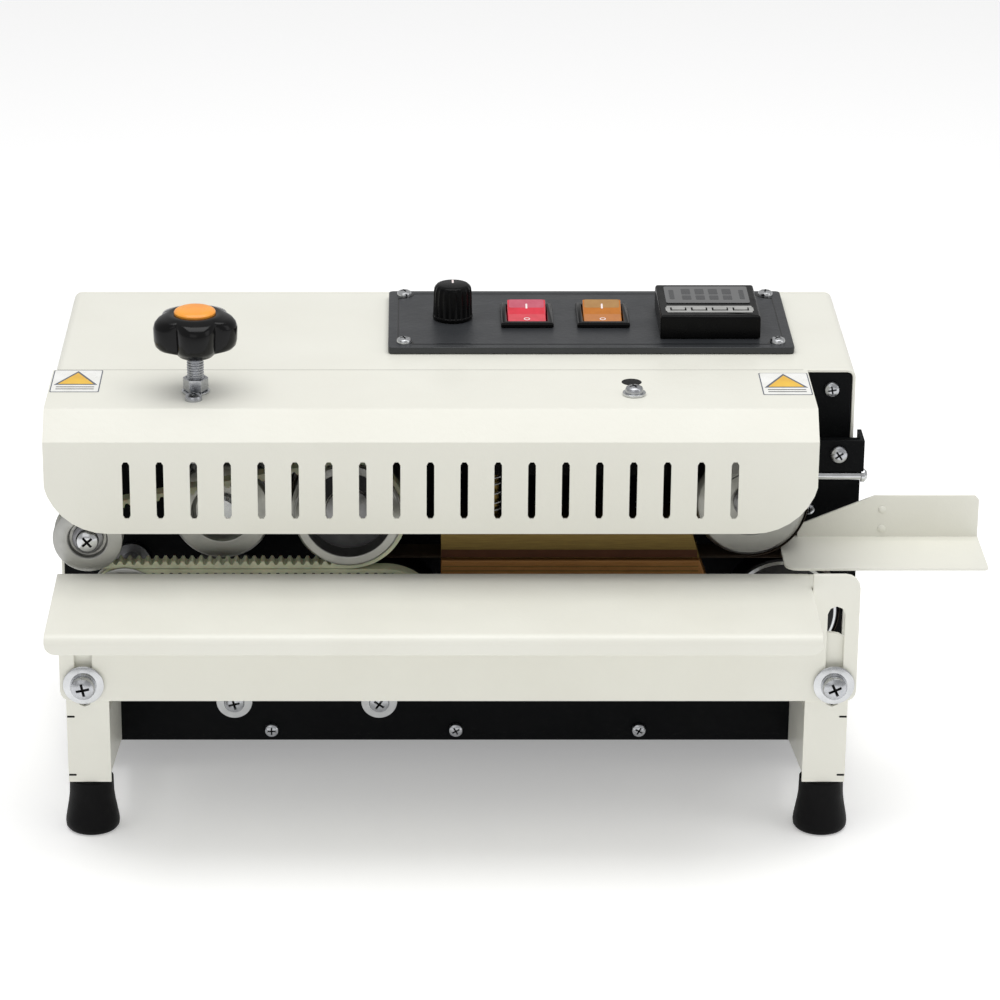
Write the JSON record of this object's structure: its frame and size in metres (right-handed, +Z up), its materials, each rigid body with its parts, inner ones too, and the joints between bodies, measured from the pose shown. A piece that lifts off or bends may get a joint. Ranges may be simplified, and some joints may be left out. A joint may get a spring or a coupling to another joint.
{
  "type": "continuous band sealer",
  "caption": "Desktop continuous band sealer with slotted front cover, panel with knob, rockers and controller, star pressure knob, heated band drive, tray and infeed guide.",
  "frame": {"origin": "centre of the bounding box at the table, under the machine", "axes": "+X along the machine from the outfeed to the infeed side, +Y from the tray to the rear cover, +Z up"},
  "size_m": [0.438, 0.2454, 0.2504],
  "materials": {
    "white_paint": "warm white powder coat, satin",
    "black_paint": "fine-textured black powder coat",
    "black_plastic": "moulded black plastic",
    "black_rubber": "matt black rubber",
    "grey_rubber": "dark grey silicone rubber",
    "zinc_steel": "bright zinc-plated steel",
    "aluminium": "turned aluminium",
    "gear_steel": "oiled machined steel",
    "heater_brass": "milled brass, dulled by heat",
    "belt_urethane": "translucent cream-green urethane",
    "band_cloth": "brown fluoropolymer-coated glass cloth",
    "red_plastic": "translucent red rocker",
    "amber_plastic": "translucent amber rocker"
  },
  "bodies": {
    "machine": {"amber_switch_frame": "black_plastic", "arm_pivot_stud": "zinc_steel", "base_chassis": "black_paint", "control_panel": "black_paint", "front_cover": "white_paint", "front_plate": "black_paint", "gear_motor": "gear_steel", "guide_bracket": "black_paint", "housing_shell": "white_paint", "infeed_guide": "white_paint", "left_clamp_screw": "zinc_steel", "left_front_foot": "black_rubber", "left_leg": "white_paint", "left_rear_foot": "black_rubber", "lower_block_rail": "aluminium", "lower_guide_belt": "belt_urethane", "lower_guide_stud": "zinc_steel", "lower_heating_block": "heater_brass", "lower_idler_stud": "zinc_steel", "lower_sealing_band": "band_cloth", "power_inlet": "black_plastic", "rear_cover": "white_paint", "red_switch_frame": "black_plastic", "right_clamp_screw": "zinc_steel", "right_front_foot": "black_rubber", "right_leg": "white_paint", "right_rear_foot": "black_rubber", "roller_stud": "zinc_steel", "speed_potentiometer": "zinc_steel", "temperature_controller": "black_plastic", "upper_block_rail": "aluminium", "upper_guide_belt": "belt_urethane", "upper_guide_stud": "zinc_steel", "upper_idler_stud": "zinc_steel", "upper_sealing_band": "band_cloth"},
    "lower_drive": {"lower_drive_wheel": "aluminium", "lower_gear_shaft": "gear_steel"},
    "upper_drive": {"upper_drive_wheel": "aluminium", "upper_gear_shaft": "gear_steel"},
    "upper_idler": {"upper_idler_wheel": "aluminium"},
    "lower_idler": {"lower_idler_wheel": "aluminium"},
    "upper_guide": {"upper_guide_pulley": "aluminium"},
    "lower_guide": {"lower_guide_pulley": "aluminium"},
    "pinion": {"motor_pinion": "gear_steel"},
    "embossing_swing": {"embossing_arm": "zinc_steel"},
    "embossing": {"embossing_wheel": "zinc_steel"},
    "backing": {"backing_roller": "grey_rubber"},
    "presser": {"pressure_shoe": "zinc_steel"},
    "pressure_knob": {"star_knob": "black_plastic", "pressure_bolt": "zinc_steel"},
    "heater": {"upper_heating_block": "heater_brass"},
    "speed": {"speed_knob": "black_plastic"},
    "red_switch": {"red_rocker": "red_plastic"},
    "amber_switch": {"amber_rocker": "amber_plastic"},
    "key_1": {"controller_key_1": "black_plastic"},
    "key_2": {"controller_key_2": "black_plastic"},
    "key_3": {"controller_key_3": "black_plastic"},
    "key_4": {"controller_key_4": "black_plastic"},
    "tray_set": {"tray": "white_paint", "tray_carrier": "white_paint"}
  },
  "joints": [
    {"name": "band_drive", "type": "hinge", "parent": "machine", "child": "lower_drive", "pos_m": [-0.06268, -0.02925, 0.0995], "axis": [0, -1, 0], "continuous": true},
    {"name": "upper_drive_turn", "type": "hinge", "parent": "machine", "child": "upper_drive", "pos_m": [-0.07945, -0.02925, 0.1545], "axis": [0, -1, 0], "continuous": true},
    {"name": "upper_idler_turn", "type": "hinge", "parent": "machine", "child": "upper_idler", "pos_m": [0.10865, -0.02925, 0.1545], "axis": [0, -1, 0], "continuous": true},
    {"name": "lower_idler_turn", "type": "hinge", "parent": "machine", "child": "lower_idler", "pos_m": [0.12542, -0.02925, 0.0995], "axis": [0, -1, 0], "continuous": true},
    {"name": "upper_guide_turn", "type": "hinge", "parent": "machine", "child": "upper_guide", "pos_m": [-0.20085, -0.02925, 0.1424], "axis": [0, -1, 0], "continuous": true},
    {"name": "lower_guide_turn", "type": "hinge", "parent": "machine", "child": "lower_guide", "pos_m": [-0.18408, -0.02925, 0.1116], "axis": [0, -1, 0], "continuous": true},
    {"name": "pinion_turn", "type": "hinge", "parent": "machine", "child": "pinion", "pos_m": [-0.10874, -0.02925, 0.09529], "axis": [0, -1, 0], "continuous": true},
    {"name": "backing_roller_turn", "type": "hinge", "parent": "machine", "child": "backing", "pos_m": [-0.13875, -0.02925, 0.1088], "axis": [0, -1, 0], "continuous": true},
    {"name": "embossing_arm_swing", "type": "hinge", "parent": "machine", "child": "embossing_swing", "pos_m": [-0.10975, -0.00925, 0.1695], "axis": [0, 1, 0], "range_deg": [0, 3]},
    {"name": "embossing_wheel_turn", "type": "hinge", "parent": "embossing_swing", "child": "embossing", "pos_m": [-0.13875, -0.02925, 0.1505], "axis": [0, -1, 0], "continuous": true},
    {"name": "pressure_screw_travel", "type": "slide", "parent": "machine", "child": "presser", "axis": [0, 0, -1], "range_m": [-0.00125, 0.0025]},
    {"name": "pressure_knob_turn", "type": "hinge", "parent": "presser", "child": "pressure_knob", "pos_m": [-0.15015, -0.02465, 0.2263], "axis": [0, 0, -1], "range_deg": [-361, 721]},
    {"name": "heating_block_lift", "type": "slide", "parent": "machine", "child": "heater", "axis": [0, 0, 1], "range_m": [0, 0.002], "stiffness_N_per_m": 2000, "springref_m": -0.003},
    {"name": "speed_knob_turn", "type": "hinge", "parent": "machine", "child": "speed", "pos_m": [-0.02995, 0.07075, 0.2116], "axis": [0, 0, -1], "range_deg": [0, 270]},
    {"name": "red_rocker_tilt", "type": "hinge", "parent": "machine", "child": "red_switch", "pos_m": [0.00605, 0.07075, 0.2121], "axis": [-1, 0, 0], "range_deg": [0, 24]},
    {"name": "amber_rocker_tilt", "type": "hinge", "parent": "machine", "child": "amber_switch", "pos_m": [0.04285, 0.07075, 0.2121], "axis": [-1, 0, 0], "range_deg": [0, 24]},
    {"name": "key_1_press", "type": "slide", "parent": "machine", "child": "key_1", "axis": [0, 0, -1], "range_m": [0, 0.0005], "stiffness_N_per_m": 400, "springref_m": -0.0005},
    {"name": "key_2_press", "type": "slide", "parent": "machine", "child": "key_2", "axis": [0, 0, -1], "range_m": [0, 0.0005], "stiffness_N_per_m": 400, "springref_m": -0.0005},
    {"name": "key_3_press", "type": "slide", "parent": "machine", "child": "key_3", "axis": [0, 0, -1], "range_m": [0, 0.0005], "stiffness_N_per_m": 400, "springref_m": -0.0005},
    {"name": "key_4_press", "type": "slide", "parent": "machine", "child": "key_4", "axis": [0, 0, -1], "range_m": [0, 0.0005], "stiffness_N_per_m": 400, "springref_m": -0.0005},
    {"name": "tray_height", "type": "slide", "parent": "machine", "child": "tray_set", "axis": [0, 0, 1], "range_m": [-0.02, 0.002]}
  ],
  "couplings": [
    {"joint": "upper_drive_turn", "follows": "band_drive", "ratio": -1},
    {"joint": "upper_idler_turn", "follows": "band_drive", "ratio": -1},
    {"joint": "lower_idler_turn", "follows": "band_drive", "ratio": 1},
    {"joint": "upper_guide_turn", "follows": "band_drive", "ratio": -1.7961},
    {"joint": "lower_guide_turn", "follows": "band_drive", "ratio": 1.7961},
    {"joint": "pinion_turn", "follows": "band_drive", "ratio": -1.6429},
    {"joint": "embossing_wheel_turn", "follows": "band_drive", "ratio": -1.1717},
    {"joint": "backing_roller_turn", "follows": "band_drive", "ratio": 1.5167},
    {"joint": "pressure_knob_turn", "follows": "pressure_screw_travel", "rad_per_m": 5026.5}
  ]
}
